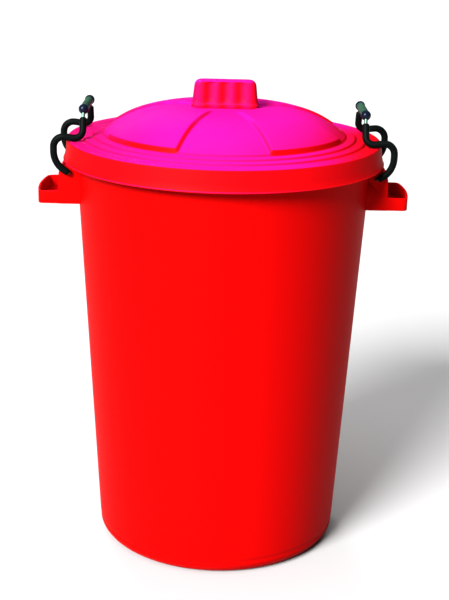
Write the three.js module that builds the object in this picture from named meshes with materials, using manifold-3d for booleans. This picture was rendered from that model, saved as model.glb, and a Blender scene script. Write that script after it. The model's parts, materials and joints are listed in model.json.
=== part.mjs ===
// Round plastic waste can with a clip-down lid: tapered can, domed lid with a fluted handle,
// two moulded side handles, and two sprung wire clips that swing on the side handles.
// Millimetres, +Z up. The origin is the middle of the can's foot, and the clips lie along X.
import * as THREE from 'three';
import { mergeVertices } from 'three/addons/utils/BufferGeometryUtils.js';
import Module from 'manifold-3d';

const wasm = await Module();
wasm.setup();

// ---- Driving dimensions ------------------------------------------------------------------
const GAP = 0.3; // between pieces that touch
const SEGMENTS = 60; // sides of every large round
const DOME_STEPS = 14; // points along the dome's section

// Can
const CAN_HEIGHT = 622.7; // foot to the top of the rim
const CAN_BASE_RADIUS = 185; // outer wall carried down to the floor
const CAN_RIM_RADIUS = 220; // outer wall carried up to the rim
const CAN_WALL = 3.2;
const CAN_FLOOR = 4;
const FOOT_FILLET = 19;
const FOOT_WIDTH = 16; // flat ring that the can stands on
const FOOT_RECESS = 3; // how far the floor stands above that ring
const RIM_REACH = 7; // rim lip beyond the wall
const RIM_THICKNESS = 3;
const RIM_DROP = 15.5; // height of the turned-down lip

// Lid
const LID_WALL = 3;
const LID_CLEARANCE = 1.9; // can's rim to the inside of the skirt's top
const SKIRT_HEIGHT = 31.5;
const SKIRT_DRAFT = 5.6; // how much narrower the skirt is at its top
const SKIRT_BEAD = 0.9; // light bead along the lower edge
const FLANGE_WIDTH = 21.5; // flat ring inside the skirt
const STEP_HEIGHT = 3.2; // each of the two rings inside the flange
const OUTER_RING_WIDTH = 11.5;
const INNER_RING_WIDTH = 13.5;
const STEP_RUN = 3; // how far a step leans
const DOME_STEP = 3.2; // foot of the dome above the inner ring
const DOME_RISE = 36; // foot of the dome to its flat crown, where the handle stands
const CROWN_RADIUS = 20; // flat middle of the dome
const DOME_POWER = 3.1; // fullness of the dome: 2 is a bowl, more is flatter and steeper
const SECTOR_COUNT = 4; // raised sectors
const SECTOR_ANGLE = 48; // width of each in plan, degrees
const SECTOR_RAISE = 5.4; // at the dome's foot
const SECTOR_POWER = 0.4; // how quickly a sector's sides grow outside the handle

// Lid handle
const GRIP_LENGTH = 98; // at its base, along X
const GRIP_DEPTH = 38; // at its base, along Y
const GRIP_HEIGHT = 39; // above the dome's shoulder
const GRIP_DRAFT = 4.5; // each face leans in by this much
const GRIP_CORNER = 9;
const FLUTE_COUNT = 3;
const FLUTE_DEPTH = 2;
const FLUTE_PITCH = 22.5;

// Side handles
const HANDLE_WIDTH = 110;
const TRAY_REACH = 35; // beyond the inner block
const BLOCK_REACH = 2.5; // beyond the lid's skirt
const HANDLE_BOTTOM = 90; // underside, below the rim
const TRAY_HEIGHT = 19;
const BLOCK_LEAN = 3;
const BLOCK_LEAN_HEIGHT = 12;
const HANDLE_WALL = 3.5;
const HANDLE_CORNER = 8;
const LID_TO_BLOCK = 4; // under the lid's skirt

// Wire clips
const WIRE_RADIUS = 2.5;
const SLEEVE_RADIUS = 5;
const SLEEVE_CLEARANCE = 0.75; // wire to bore
const PIVOT_INSET = 18; // pivot axis, inside the block's outer face
const PIVOT_DROP = 11; // pivot axis, below the block's top
const PIVOT_CLEARANCE = 0.6; // wire to its hole
const STUB_LENGTH = 15;
const STUB_BEND = 7;
const LEG_CLEARANCE = 2; // sleeve to the handle's end face
const HOOK_STANDOFF = 16.2; // leg's outermost centreline, beyond the lid's edge beside it
const HOOK_RISE = 13; // foot of the hook's upright, above the pivot axis
const HOOK_BEND = 32;
const ARCH_HEIGHT = 4.2; // arch's corner, above a leg that would lie on the flange
const ARCH_BEND = 15;
const DIP_INSET = 25.8; // upright's centreline, inside that edge
const DIP_SINK = 1; // dip's corner, below a leg that would lie on the flange
const DIP_BEND = 12;
const BAR_HEIGHT = 45; // top bar, above the lid's flange
const BAR_LENGTH = 88; // between the two upright legs
const BAR_BEND = 7;
const COLLAR_RADIUS = 7.6;
const COLLAR_SHIFT = 1.4; // collar's centre, in from the leg's line along the bar
const BARE_WIRE = 5; // between collar and sleeve
const BAR_SLEEVE_RADIUS = 5;
const BAR_RIB = 1.1;
const BAR_RIB_PITCH = 9;
const TUBE_SIDES = 8;
const WIRE_STEPS = 84;
const SLEEVE_STEPS = 26;

// ---- Sizes that follow ---------------------------------------------------------------------
const LID_TOP = CAN_HEIGHT + GAP + LID_WALL; // flange's upper face
const LID_BOTTOM = LID_TOP - SKIRT_HEIGHT;
const RIM_RADIUS = CAN_RIM_RADIUS + RIM_REACH;
const FLANGE_OUTER = RIM_RADIUS + LID_CLEARANCE + LID_WALL;
const LID_RADIUS = FLANGE_OUTER + SKIRT_DRAFT; // at the skirt's lower edge
const FLANGE_INNER = FLANGE_OUTER - FLANGE_WIDTH;
const OUTER_RING_TOP = LID_TOP + STEP_HEIGHT;
const OUTER_RING_INNER = FLANGE_INNER - STEP_RUN - OUTER_RING_WIDTH;
const INNER_RING_TOP = OUTER_RING_TOP + STEP_HEIGHT;
const DOME_RADIUS = OUTER_RING_INNER - STEP_RUN - INNER_RING_WIDTH;
const DOME_FOOT = INNER_RING_TOP + DOME_STEP;
const SHOULDER = DOME_FOOT + DOME_RISE;
const SHOULDER_RADIUS = GRIP_LENGTH / 2; // where the raised sectors begin
const TRAY_BOTTOM = CAN_HEIGHT - HANDLE_BOTTOM;
const TRAY_TOP = TRAY_BOTTOM + TRAY_HEIGHT;
const BLOCK_TOP = LID_BOTTOM - LID_TO_BLOCK;
const BLOCK_FACE = LID_RADIUS + BLOCK_REACH;
const TRAY_FACE = BLOCK_FACE + TRAY_REACH;
const PIVOT_X = BLOCK_FACE - PIVOT_INSET;
const PIVOT_Z = BLOCK_TOP - PIVOT_DROP;
const LEG_Y = HANDLE_WIDTH / 2 + LEG_CLEARANCE + SLEEVE_RADIUS;
const LID_EDGE_X = Math.sqrt(LID_RADIUS ** 2 - LEG_Y ** 2); // lid's edge beside a leg
const HOOK_X = LID_EDGE_X + HOOK_STANDOFF;
const UPRIGHT_X = LID_EDGE_X - DIP_INSET;
const BORE_RADIUS = WIRE_RADIUS + SLEEVE_CLEARANCE;

const RED = { color: 0xe8101c, roughness: 0.42, metalness: 0 };
const MATERIALS = {
  can: new THREE.MeshStandardMaterial(RED),
  lid: new THREE.MeshStandardMaterial({ ...RED, color: 0xf0148c, roughness: 0.38 }),
  wire: new THREE.MeshStandardMaterial({ color: 0xb9bdb4, roughness: 0.3, metalness: 1 }),
  sleeve: new THREE.MeshStandardMaterial({ color: 0x0b100e, roughness: 0.55, metalness: 0 }),
  collar: new THREE.MeshStandardMaterial({ color: 0x0c1024, roughness: 0.25, metalness: 0 }),
};

// ---- Solids ----------------------------------------------------------------------------------
function toSolid(geometry) {
  const bare = geometry.clone();
  bare.deleteAttribute('normal');
  bare.deleteAttribute('uv');
  const merged = mergeVertices(bare, 1e-3);
  const corners = merged.index.array;
  const triVerts = [];
  for (let i = 0; i < corners.length; i += 3) {
    const [a, b, c] = corners.slice(i, i + 3);
    if (a !== b && b !== c && c !== a) triVerts.push(a, b, c);
  }
  const vertProperties = new Float32Array(merged.attributes.position.array);
  const mesh = { numProp: 3, vertProperties, triVerts: new Uint32Array(triVerts) };
  return new wasm.Manifold(new wasm.Mesh(mesh));
}

function toGeometry(solid) {
  const mesh = solid.getMesh();
  const geometry = new THREE.BufferGeometry();
  geometry.setAttribute('position', new THREE.BufferAttribute(mesh.vertProperties, 3));
  geometry.setIndex(new THREE.BufferAttribute(mesh.triVerts, 1));
  geometry.computeVertexNormals();
  return geometry;
}

// A closed outline of [radius, height] points, turned about the Z axis.
function revolve(outline, segments = SEGMENTS) {
  const points = outline.map(([radius, height]) => new THREE.Vector2(radius, height));
  if (THREE.ShapeUtils.isClockWise(points)) points.reverse();
  points.push(points[0].clone());
  return new THREE.LatheGeometry(points, segments).rotateX(Math.PI / 2);
}

// Points along the arc from one angle to another, in degrees, about a centre.
function arc([x, y], radius, from, to, steps) {
  const points = [];
  for (let i = 0; i <= steps; i += 1) {
    const angle = THREE.MathUtils.degToRad(from + ((to - from) * i) / steps);
    points.push([x + radius * Math.cos(angle), y + radius * Math.sin(angle)]);
  }
  return points;
}

function extrudeUp(outline, low, high) {
  const shape = new THREE.Shape(outline.map(([x, y]) => new THREE.Vector2(x, y)));
  const geometry = new THREE.ExtrudeGeometry(shape, { depth: high - low, bevelEnabled: false });
  return geometry.translate(0, 0, low);
}

// ---- Can -------------------------------------------------------------------------------------
function canRadius(height) {
  return CAN_BASE_RADIUS + ((CAN_RIM_RADIUS - CAN_BASE_RADIUS) * height) / CAN_HEIGHT;
}

function makeCan() {
  const footCentre = canRadius(FOOT_FILLET) - FOOT_FILLET;
  const footInner = footCentre - FOOT_WIDTH;
  const ringTop = FOOT_RECESS + CAN_FLOOR;
  const lip = RIM_RADIUS;
  const under = CAN_HEIGHT - RIM_THICKNESS;
  return revolve([
    [0, FOOT_RECESS],
    [footInner - FOOT_RECESS, FOOT_RECESS],
    [footInner, 0],
    ...arc([footCentre, FOOT_FILLET], FOOT_FILLET, -90, -3, 5),
    [canRadius(under), under],
    [lip - RIM_THICKNESS, under],
    [lip - RIM_THICKNESS, CAN_HEIGHT - RIM_DROP],
    [lip, CAN_HEIGHT - RIM_DROP],
    [lip, CAN_HEIGHT - RIM_THICKNESS / 2],
    [lip - RIM_THICKNESS / 2, CAN_HEIGHT],
    [CAN_RIM_RADIUS - CAN_WALL, CAN_HEIGHT],
    ...arc([footCentre, ringTop + FOOT_FILLET], FOOT_FILLET - CAN_WALL, 0, -90, 4),
    [footInner - CAN_FLOOR, ringTop],
    [0, ringTop],
  ]);
}

// ---- Side handle, on the +X side -----------------------------------------------------------
function trayOutline(reach, halfWidth, corner, inner) {
  const side = Math.sqrt((reach - corner) ** 2 - (halfWidth - corner) ** 2);
  const turn = THREE.MathUtils.radToDeg(Math.atan2(halfWidth - corner, side));
  return [
    [inner, -halfWidth],
    ...arc([side, corner - halfWidth], corner, -90, -turn, 4),
    ...arc([0, 0], reach, -turn, turn, 8).slice(1, -1),
    ...arc([side, halfWidth - corner], corner, turn, 90, 4),
    [inner, halfWidth],
  ];
}

function makeHandle() {
  const half = HANDLE_WIDTH / 2;
  const inside = canRadius(TRAY_BOTTOM) - CAN_WALL * 6;
  const tray = trayOutline(TRAY_FACE, half, HANDLE_CORNER, inside);
  const blockProfile = [
    [inside, -TRAY_BOTTOM],
    [BLOCK_FACE, -TRAY_BOTTOM],
    [BLOCK_FACE, BLOCK_LEAN_HEIGHT - BLOCK_TOP],
    [BLOCK_FACE - BLOCK_LEAN, -BLOCK_TOP],
    [inside, -BLOCK_TOP],
  ];
  const block = extrudeUp(blockProfile.reverse(), -half, half).rotateX(-Math.PI / 2);
  const wall = HANDLE_WALL;
  const pocket = trayOutline(TRAY_FACE - wall, half - wall, HANDLE_CORNER - wall, BLOCK_FACE);
  const core = [
    [inside, -TRAY_BOTTOM + wall],
    [BLOCK_FACE - wall, -TRAY_BOTTOM + wall],
    [BLOCK_FACE - wall, BLOCK_LEAN_HEIGHT - BLOCK_TOP],
    [BLOCK_FACE - BLOCK_LEAN - wall, wall - BLOCK_TOP],
    [inside, wall - BLOCK_TOP],
  ];
  const hollow = extrudeUp(core.reverse(), wall - half, half - wall).rotateX(-Math.PI / 2);
  const low = TRAY_BOTTOM - wall;
  const high = BLOCK_TOP + wall;
  const can = revolve([
    [0, low],
    [canRadius(low) + GAP, low],
    [canRadius(high) + GAP, high],
    [0, high],
  ]);
  const hole = new THREE.CylinderGeometry(1, 1, HANDLE_WIDTH + wall, 16);
  hole.scale(WIRE_RADIUS + PIVOT_CLEARANCE, 1, WIRE_RADIUS + PIVOT_CLEARANCE);
  hole.translate(PIVOT_X, 0, PIVOT_Z);
  return toSolid(extrudeUp(tray, TRAY_BOTTOM, TRAY_TOP))
    .add(toSolid(block))
    .subtract(toSolid(extrudeUp(pocket, TRAY_BOTTOM + wall, TRAY_TOP + wall)))
    .subtract(toSolid(hollow))
    .subtract(toSolid(can))
    .subtract(toSolid(hole));
}

// ---- Lid ---------------------------------------------------------------------------------------
// Section of the dome from its foot to the axis; drop lowers it and pulls its foot in.
function domeSection(drop, raise) {
  const footRadius = DOME_RADIUS - drop;
  const points = [];
  for (let i = 0; i <= DOME_STEPS; i += 1) {
    const r = footRadius * (1 - i / DOME_STEPS);
    const outside = Math.max(0, (r - CROWN_RADIUS) / (footRadius - CROWN_RADIUS));
    const beyond = Math.max(0, (r - SHOULDER_RADIUS) / (footRadius - SHOULDER_RADIUS));
    const fall = DOME_RISE * outside ** DOME_POWER;
    points.push([r, SHOULDER - drop - fall + raise * beyond ** SECTOR_POWER]);
  }
  return points;
}

function lidOuter() {
  const skirtTop = LID_TOP - SKIRT_BEAD;
  const beadHeight = LID_BOTTOM + 3 * SKIRT_BEAD;
  return revolve([
    [0, LID_BOTTOM],
    [LID_RADIUS, LID_BOTTOM],
    [LID_RADIUS, LID_BOTTOM + 2 * SKIRT_BEAD],
    [LID_RADIUS - SKIRT_BEAD, beadHeight],
    [FLANGE_OUTER, skirtTop],
    [FLANGE_OUTER - 2 * SKIRT_BEAD, LID_TOP],
    [FLANGE_INNER, LID_TOP],
    [FLANGE_INNER - STEP_RUN, OUTER_RING_TOP],
    [OUTER_RING_INNER, OUTER_RING_TOP],
    [OUTER_RING_INNER - STEP_RUN, INNER_RING_TOP],
    [DOME_RADIUS + STEP_RUN, INNER_RING_TOP],
    ...domeSection(0, 0),
  ]);
}

function lidInner() {
  const low = LID_BOTTOM - LID_WALL;
  return revolve([
    [0, low],
    [LID_RADIUS - LID_WALL, low],
    [LID_RADIUS - LID_WALL, LID_BOTTOM],
    [FLANGE_OUTER - LID_WALL, LID_TOP - LID_WALL],
    [FLANGE_INNER - LID_WALL, LID_TOP - LID_WALL],
    [FLANGE_INNER - LID_WALL - STEP_RUN, OUTER_RING_TOP - LID_WALL],
    [OUTER_RING_INNER - LID_WALL, OUTER_RING_TOP - LID_WALL],
    [OUTER_RING_INNER - LID_WALL - STEP_RUN, INNER_RING_TOP - LID_WALL],
    [DOME_RADIUS + STEP_RUN - LID_WALL, INNER_RING_TOP - LID_WALL],
    ...domeSection(LID_WALL, 0),
  ]);
}

// Everything under a raised sector's skin; drop lowers the skin and pulls its wall in.
function raisedDome(drop) {
  return toSolid(
    revolve([
      [0, LID_BOTTOM],
      [DOME_RADIUS + STEP_RUN - drop, LID_BOTTOM],
      [DOME_RADIUS + STEP_RUN - drop, INNER_RING_TOP],
      ...domeSection(drop, SECTOR_RAISE),
    ]),
  );
}

// Upright wedges over the raised sectors; inset moves both sides of a wedge inwards.
function sectorWedges(inset) {
  const halfAngle = (SECTOR_ANGLE * Math.PI) / 360;
  const apex = inset / Math.sin(halfAngle);
  const length = LID_RADIUS;
  const wedge = extrudeUp(
    [
      [apex, 0],
      [apex + length, -length * Math.tan(halfAngle)],
      [apex + length, length * Math.tan(halfAngle)],
    ],
    LID_BOTTOM - LID_WALL,
    SHOULDER + GRIP_HEIGHT,
  );
  let wedges = null;
  for (let i = 0; i < SECTOR_COUNT; i += 1) {
    const one = toSolid(wedge.clone().rotateZ((2 * Math.PI * (i + 0.5)) / SECTOR_COUNT));
    wedges = wedges ? wedges.add(one) : one;
  }
  return wedges;
}

// Fluted block, narrower at the top; inset leaves a wall of that thickness.
function lidGrip(inset, low, high) {
  const halfX = GRIP_LENGTH / 2 - inset;
  const halfY = GRIP_DEPTH / 2 - inset;
  const corner = GRIP_CORNER - inset;
  const fluted = (FLUTE_COUNT * FLUTE_PITCH) / 2;
  const front = [];
  const steps = FLUTE_COUNT * 6;
  for (let i = 0; i <= steps; i += 1) {
    const x = -fluted + (2 * fluted * i) / steps;
    const wave = (1 + Math.cos((2 * Math.PI * x) / FLUTE_PITCH)) / 2;
    front.push([x, FLUTE_DEPTH * wave - halfY]);
  }
  const side = [
    ...front,
    ...arc([halfX - corner, corner - halfY], corner, -90, 0, 4).slice(1),
    ...arc([halfX - corner, halfY - corner], corner, 0, 90, 4).slice(0, -1),
  ];
  const back = front.map(([x, y]) => [-x, -y]);
  const left = side.slice(front.length).map(([x, y]) => [-x, -y]);
  const geometry = extrudeUp([...side, ...back, ...left], low, high);
  const place = geometry.attributes.position;
  for (let i = 0; i < place.count; i += 1) {
    const lean = (GRIP_DRAFT * (place.getZ(i) - SHOULDER)) / GRIP_HEIGHT;
    place.setX(i, place.getX(i) * (1 - lean / (GRIP_LENGTH / 2)));
    place.setY(i, place.getY(i) * (1 - lean / (GRIP_DEPTH / 2)));
  }
  return toSolid(geometry);
}

function makeLid() {
  const gripFoot = SHOULDER - 2 * GRIP_CORNER;
  const gripTop = SHOULDER + GRIP_HEIGHT;
  const outside = toSolid(lidOuter())
    .add(raisedDome(0).intersect(sectorWedges(0)))
    .add(lidGrip(0, gripFoot, gripTop));
  const inside = toSolid(lidInner())
    .add(raisedDome(LID_WALL).intersect(sectorWedges(LID_WALL)))
    .add(lidGrip(LID_WALL, gripFoot - LID_WALL, gripTop - LID_WALL));
  return outside.subtract(inside);
}

// ---- Wire clips ----------------------------------------------------------------------------
class BendArc extends THREE.Curve {
  constructor(centre, start, axis, angle) {
    super();
    Object.assign(this, { centre, start, axis, angle });
  }

  getPoint(t, target = new THREE.Vector3()) {
    return target.copy(this.start).applyAxisAngle(this.axis, this.angle * t).add(this.centre);
  }
}

// The stretch of a path between two distances along it.
class Stretch extends THREE.Curve {
  constructor(path, from, to) {
    super();
    Object.assign(this, { path, from, to, whole: path.getLength() });
  }

  getPoint(t, target = new THREE.Vector3()) {
    const along = this.from + (this.to - this.from) * t;
    return target.copy(this.path.getPointAt(along / this.whole));
  }
}

// A wire through corner points [x, y, z, bend radius], straight between its bends. Two bends
// that need more than the straight between them are both tightened to fit it.
function bentWire(corners) {
  const at = corners.map(([x, y, z]) => new THREE.Vector3(x, y, z));
  const bends = corners.map(([, , , radius = 0], i) => {
    if (!radius) return { setback: 0 };
    const back = at[i - 1].clone().sub(at[i]).normalize();
    const on = at[i + 1].clone().sub(at[i]).normalize();
    const half = back.angleTo(on) / 2;
    return { back, on, half, setback: radius / Math.tan(half) };
  });
  for (let i = 1; i < at.length; i += 1) {
    const wanted = bends[i - 1].setback + bends[i].setback;
    const fit = Math.min(1, (0.99 * at[i].distanceTo(at[i - 1])) / wanted);
    bends[i - 1].setback *= fit;
    bends[i].setback *= fit;
  }
  const path = new THREE.CurvePath();
  let from = at[0];
  for (let i = 1; i < at.length - 1; i += 1) {
    const { back, on, half, setback } = bends[i];
    const start = at[i].clone().addScaledVector(back, setback);
    const middle = back.clone().add(on).normalize();
    const centre = at[i].clone().addScaledVector(middle, setback / Math.cos(half));
    const axis = on.clone().cross(back).normalize();
    const bend = new BendArc(centre, start.clone().sub(centre), axis, Math.PI - 2 * half);
    path.add(new THREE.LineCurve3(from, start));
    path.add(bend);
    from = bend.getPoint(1);
  }
  path.add(new THREE.LineCurve3(from, at[at.length - 1]));
  path.arcLengthDivisions = 600;
  return path;
}

function tubeAlong(path, radius, bore, steps) {
  const round = (r) => {
    const ring = arc([0, 0], r, 0, 360, TUBE_SIDES).slice(1);
    return ring.map(([x, y]) => new THREE.Vector2(x, y));
  };
  const shape = new THREE.Shape(round(radius));
  if (bore) shape.holes.push(new THREE.Path(round(bore)));
  const geometry = new THREE.ExtrudeGeometry(shape, { steps, extrudePath: path });
  return toSolid(geometry);
}

// One leg's corners from its stub to the top bar; side is the clip's X side, end its Y end.
function legCorners(side, end) {
  return [
    [side * PIVOT_X, end * (LEG_Y - STUB_LENGTH), PIVOT_Z],
    [side * PIVOT_X, end * LEG_Y, PIVOT_Z, STUB_BEND],
    [side * HOOK_X, end * LEG_Y, PIVOT_Z + HOOK_RISE, HOOK_BEND],
    [side * HOOK_X, end * LEG_Y, LID_TOP + SLEEVE_RADIUS + ARCH_HEIGHT, ARCH_BEND],
    [side * UPRIGHT_X, end * LEG_Y, LID_TOP + SLEEVE_RADIUS - DIP_SINK, DIP_BEND],
    [side * UPRIGHT_X, (end * BAR_LENGTH) / 2, LID_TOP + BAR_HEIGHT, BAR_BEND],
  ];
}

// Ribbed sleeve about the bar's line, which runs along Y.
function makeBarSleeve(side) {
  const half = BAR_LENGTH / 2 - COLLAR_SHIFT - COLLAR_RADIUS - GAP;
  const ribs = Math.floor((2 * half) / BAR_RIB_PITCH);
  const pitch = (2 * half) / ribs;
  const outline = [[BORE_RADIUS, -half]];
  for (let i = 0; i < ribs; i += 1) {
    const foot = i * pitch - half;
    outline.push([BAR_SLEEVE_RADIUS, foot]);
    outline.push([BAR_SLEEVE_RADIUS, foot + pitch * 0.25]);
    outline.push([BAR_SLEEVE_RADIUS + BAR_RIB, foot + pitch * 0.4]);
    outline.push([BAR_SLEEVE_RADIUS + BAR_RIB, foot + pitch * 0.85]);
  }
  outline.push([BAR_SLEEVE_RADIUS, half]);
  outline.push([BORE_RADIUS, half]);
  const geometry = revolve(outline, 10).rotateX(-Math.PI / 2);
  geometry.translate(side * UPRIGHT_X, 0, LID_TOP + BAR_HEIGHT);
  return toSolid(geometry);
}

function addClip(name, side) {
  const corners = [...legCorners(side, -1), ...legCorners(side, 1).reverse()];
  const path = bentWire(corners);
  const length = path.getLength();
  const bendLength = (STUB_BEND * Math.PI) / 2;
  const sleeveStart = STUB_LENGTH - STUB_BEND + bendLength;
  const sleeveEnd = (length - BAR_LENGTH) / 2 - COLLAR_RADIUS - BARE_WIRE;
  const clip = new THREE.Group();
  addPiece(clip, `${name}_wire`, tubeAlong(path, WIRE_RADIUS, 0, WIRE_STEPS), MATERIALS.wire);
  addPiece(clip, `${name}_bar_sleeve`, makeBarSleeve(side), MATERIALS.sleeve);
  for (const [place, end] of Object.entries({ front: -1, rear: 1 })) {
    const spans = end < 0 ? [sleeveStart, sleeveEnd] : [length - sleeveEnd, length - sleeveStart];
    const leg = new Stretch(path, ...spans);
    const sleeve = tubeAlong(leg, SLEEVE_RADIUS, BORE_RADIUS, SLEEVE_STEPS);
    addPiece(clip, `${name}_${place}_sleeve`, sleeve, MATERIALS.sleeve);
    const turn = (length + end * BAR_LENGTH) / 2 - end * COLLAR_SHIFT;
    const ball = new THREE.SphereGeometry(COLLAR_RADIUS, 12, 8);
    ball.translate(...path.getPointAt(turn / length).toArray());
    const near = new Stretch(path, turn - 3 * COLLAR_RADIUS, turn + 3 * COLLAR_RADIUS);
    const bore = tubeAlong(near, BORE_RADIUS, 0, 24);
    addPiece(clip, `${name}_${place}_collar`, toSolid(ball).subtract(bore), MATERIALS.collar);
  }
  return clip;
}

// ---- Assembly ------------------------------------------------------------------------------
function addPiece(group, name, solid, material) {
  const mesh = new THREE.Mesh(toGeometry(solid), material);
  mesh.name = name;
  group.add(mesh);
  return mesh;
}

const can = new THREE.Group();
addPiece(can, 'can_body', toSolid(makeCan()), MATERIALS.can);
addPiece(can, 'right_handle', makeHandle(), MATERIALS.can);
addPiece(can, 'left_handle', makeHandle(), MATERIALS.can).rotation.z = Math.PI;
addPiece(can, 'lid', makeLid(), MATERIALS.lid);
can.add(addClip('right_clip', 1));
can.add(addClip('left_clip', -1));

export default can;
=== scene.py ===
"""Builds the visible model of a clip-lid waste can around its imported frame.

Lengths are in metres, +Z up, with the middle of the can's foot at the origin.
"""

import json
import math

import bmesh
import bpy
from bpy.props import FloatProperty, FloatVectorProperty, IntProperty, PointerProperty
from mathutils import Matrix, Vector


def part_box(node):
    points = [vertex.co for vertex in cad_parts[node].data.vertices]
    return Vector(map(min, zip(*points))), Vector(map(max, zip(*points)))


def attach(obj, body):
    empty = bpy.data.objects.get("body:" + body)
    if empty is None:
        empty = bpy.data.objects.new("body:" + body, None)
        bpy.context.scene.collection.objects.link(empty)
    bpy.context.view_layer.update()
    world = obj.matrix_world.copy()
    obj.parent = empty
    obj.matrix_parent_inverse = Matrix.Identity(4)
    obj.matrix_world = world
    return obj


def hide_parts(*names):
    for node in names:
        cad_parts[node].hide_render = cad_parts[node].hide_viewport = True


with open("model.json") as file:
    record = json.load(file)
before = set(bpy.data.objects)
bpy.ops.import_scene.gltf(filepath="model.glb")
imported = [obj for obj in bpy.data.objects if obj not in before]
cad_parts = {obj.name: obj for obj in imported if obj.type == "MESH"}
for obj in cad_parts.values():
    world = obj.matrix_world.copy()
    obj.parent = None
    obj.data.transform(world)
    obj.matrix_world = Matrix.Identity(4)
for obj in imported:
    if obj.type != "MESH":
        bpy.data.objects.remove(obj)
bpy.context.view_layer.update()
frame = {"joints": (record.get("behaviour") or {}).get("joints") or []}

bl_info = {
    "name": "Clip-lid waste can",
    "version": (1, 0, 0),
    "blender": (4, 5, 0),
    "location": "View3D > Sidebar > Waste Can",
    "description": "Plastic waste can with side handles, a domed lid and two wire clips",
    "category": "Object",
}

CAN_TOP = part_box("can_body")[1]
LID_LOW, LID_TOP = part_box("lid")
TRAY_LOW, TRAY_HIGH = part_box("right_handle")
CLIP_HINGE = Vector(
    next(joint["pos_m"] for joint in frame["joints"] if joint["name"] == "right_clip_swing")
)
SLACK = 0.00002  # keeps the lid's top inside the part's box
TINY = 1e-6  # lengths and turns smaller than this are only rounding
ROUND = 60.0  # sharpest angle in degrees that is shaded smooth on the lid and the clips
SIDES = {"right": 1, "left": -1}
ENDS = {"front": -1, "rear": 1}


# ---- Settings --------------------------------------------------------------------------------


def length(name, default, description):
    """A size that shows in the scene's units."""
    return FloatProperty(
        name=name, default=default, min=0.0, unit="LENGTH", precision=4, description=description
    )


def colour(name, default, description):
    """A linear colour with a swatch."""
    return FloatVectorProperty(
        name=name, default=default, size=3, min=0.0, max=1.0, subtype="COLOR", description=description
    )


class CanSettings(bpy.types.PropertyGroup):
    """Sizes of the can and its two side handles."""

    base_radius: length("Base radius", 0.185, "Outer wall carried down to the floor")
    wall_radius: length("Wall radius", 0.22, "Outer wall carried up to the rim")
    wall: length("Wall", 0.0032, "Thickness of the can's wall")
    floor: length("Floor", 0.004, "Thickness of the can's floor")
    foot_fillet: length("Foot fillet", 0.019, "Radius between the wall and the foot")
    foot_width: length("Foot width", 0.016, "Flat ring that the can stands on")
    foot_recess: length("Foot recess", 0.003, "Height of the floor above that ring")
    foot_groove: length("Foot groove", 0.0009, "Depth of the ring round the top of the foot")
    rim_drop: length("Rim drop", 0.0155, "Height of the turned-down lip")
    rim_wall: length("Rim wall", 0.003, "Thickness of the rim and its lip")
    handle_wall: length("Handle wall", 0.0035, "Thickness of the side handles' walls")
    handle_corner: length("Handle corner", 0.008, "Plan radius of the tray's corners")
    tray_height: length("Tray height", 0.019, "Height of the tray's outer wall")
    block_reach: length("Block reach", 0.24, "Inner block's outer face, from the axis")
    block_lean: length("Block lean", 0.003, "How far the block's face leans in at its top")
    lean_height: length("Lean height", 0.012, "Height of the leaning part of the block")
    edge: length("Edge", 0.0011, "Rounding of the handles' edges")


class LidSettings(bpy.types.PropertyGroup):
    """Sizes of the lid and the handle on top of it."""

    wall: length("Wall", 0.003, "Thickness of the lid")
    skirt_draft: length("Skirt draft", 0.0056, "How much narrower the skirt is at its top")
    skirt_height: length("Skirt height", 0.0315, "Height of the skirt")
    bead: length("Bead", 0.0009, "Bead along the skirt's lower edge")
    flange: length("Flange", 0.0215, "Width of the flat ring inside the skirt")
    step: length("Step", 0.0032, "Height of each ring above the one outside it")
    step_run: length("Step run", 0.0036, "Width over which a step rises")
    outer_ring: length("Outer ring", 0.0145, "Outer ring's width, with its step")
    inner_ring: length("Inner ring", 0.0145, "Inner ring's width")
    dome_rise: length("Dome rise", 0.036, "Dome's foot to its flat crown")
    crown: length("Crown", 0.02, "Radius of the dome's flat middle")
    fullness: FloatProperty(
        name="Fullness", default=3.0, min=1.0, description="Power of the dome's fall from its crown"
    )
    sector_raise: length("Sector raise", 0.0052, "Raised sectors' height at the dome's foot")
    sector_growth: FloatProperty(
        name="Sector growth", default=0.22, min=0.1, description="Power of the sides' height outwards"
    )
    sector_width: FloatProperty(
        name="Sector width", default=math.radians(48), unit="ROTATION", description="In plan"
    )
    sector_inset: length("Sector inset", 0.001, "Dome's edge to a raised sector's edge")
    sector_corner: length("Sector corner", 0.004, "Plan radius of a raised sector's corners")
    edge_run: length("Edge run", 0.0022, "Width over which a raised sector's outer edge rises")
    side_run: length("Side run", 0.0058, "Width over which a raised sector's sides rise")
    grip_length: length("Grip length", 0.098, "Lid handle's length at its base")
    grip_depth: length("Grip depth", 0.038, "Lid handle's depth at its base")
    grip_draft: length("Grip draft", 0.0042, "How far each face of the lid handle leans in")
    grip_corner: length("Grip corner", 0.009, "Plan radius of the lid handle's corners")
    grip_edge: length("Grip edge", 0.0022, "Rounding of the lid handle's long top edges")
    grip_end: length("Grip end", 0.008, "Rounding of the lid handle's short top edges")
    plinth: length("Plinth", 0.0066, "Height of the lid handle's plinth above the shoulder")
    flute_depth: length("Flute depth", 0.0028, "Depth of the flutes")
    flute_pitch: length("Flute pitch", 0.0235, "Distance between flutes")


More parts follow.
